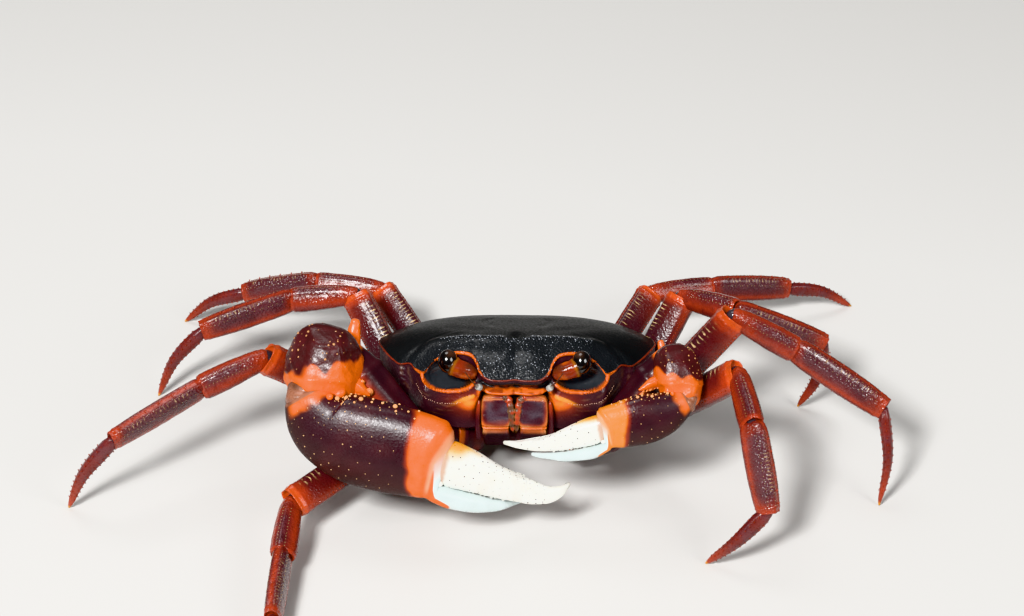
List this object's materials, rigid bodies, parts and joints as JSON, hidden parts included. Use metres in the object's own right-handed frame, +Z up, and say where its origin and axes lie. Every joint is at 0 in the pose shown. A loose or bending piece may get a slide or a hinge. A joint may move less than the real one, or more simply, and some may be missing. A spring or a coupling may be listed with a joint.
{
  "type": "freshwater crab",
  "caption": "Life-size freshwater crab standing on its walking legs with its folded claws before the mouth, the right claw much the larger.",
  "frame": {"origin": "middle of the ground plan of the whole crab, legs and claws included, on the floor that its legs stand on", "axes": "+X to the crab's left, -Y the way it faces, +Z up"},
  "size_m": [0.1182, 0.0936, 0.0266],
  "materials": {
    "shell_dark": "satin",
    "underside": "satin",
    "mouth": "satin",
    "claw_shell": "satin",
    "ivory": "satin",
    "leg_dark": "satin",
    "leg_red": "satin",
    "orange": "satin",
    "cornea": "gloss"
  },
  "bodies": {
    "root": {"abdomen": "underside", "antenna_l": "orange", "antenna_r": "orange", "carapace": "shell_dark", "cheliped_l_carpus": "claw_shell", "cheliped_l_dactylus": "ivory", "cheliped_l_merus": "claw_shell", "cheliped_l_palm": "claw_shell", "cheliped_r_carpus": "claw_shell", "cheliped_r_dactylus": "ivory", "cheliped_r_merus": "claw_shell", "cheliped_r_palm": "claw_shell", "eye_l": "cornea", "eye_r": "cornea", "eyestalk_l": "orange", "eyestalk_r": "orange", "leg_l2_carpus": "leg_red", "leg_l2_dactylus": "leg_red", "leg_l2_merus": "leg_dark", "leg_l2_propodus": "leg_red", "leg_l3_carpus": "leg_red", "leg_l3_dactylus": "leg_red", "leg_l3_merus": "leg_dark", "leg_l3_propodus": "leg_red", "leg_l4_carpus": "leg_red", "leg_l4_dactylus": "leg_red", "leg_l4_merus": "leg_dark", "leg_l4_propodus": "leg_red", "leg_l5_carpus": "leg_red", "leg_l5_dactylus": "leg_red", "leg_l5_merus": "leg_dark", "leg_l5_propodus": "leg_red", "leg_r2_carpus": "leg_red", "leg_r2_dactylus": "leg_red", "leg_r2_merus": "leg_dark", "leg_r2_propodus": "leg_red", "leg_r3_carpus": "leg_red", "leg_r3_dactylus": "leg_red", "leg_r3_merus": "leg_dark", "leg_r3_propodus": "leg_red", "leg_r4_carpus": "leg_red", "leg_r4_dactylus": "leg_red", "leg_r4_merus": "leg_dark", "leg_r4_propodus": "leg_red", "leg_r5_carpus": "leg_red", "leg_r5_dactylus": "leg_red", "leg_r5_merus": "leg_dark", "leg_r5_propodus": "leg_red", "maxilliped_l": "mouth", "maxilliped_r": "mouth", "thorax": "underside"}
  },
  "joints": []
}
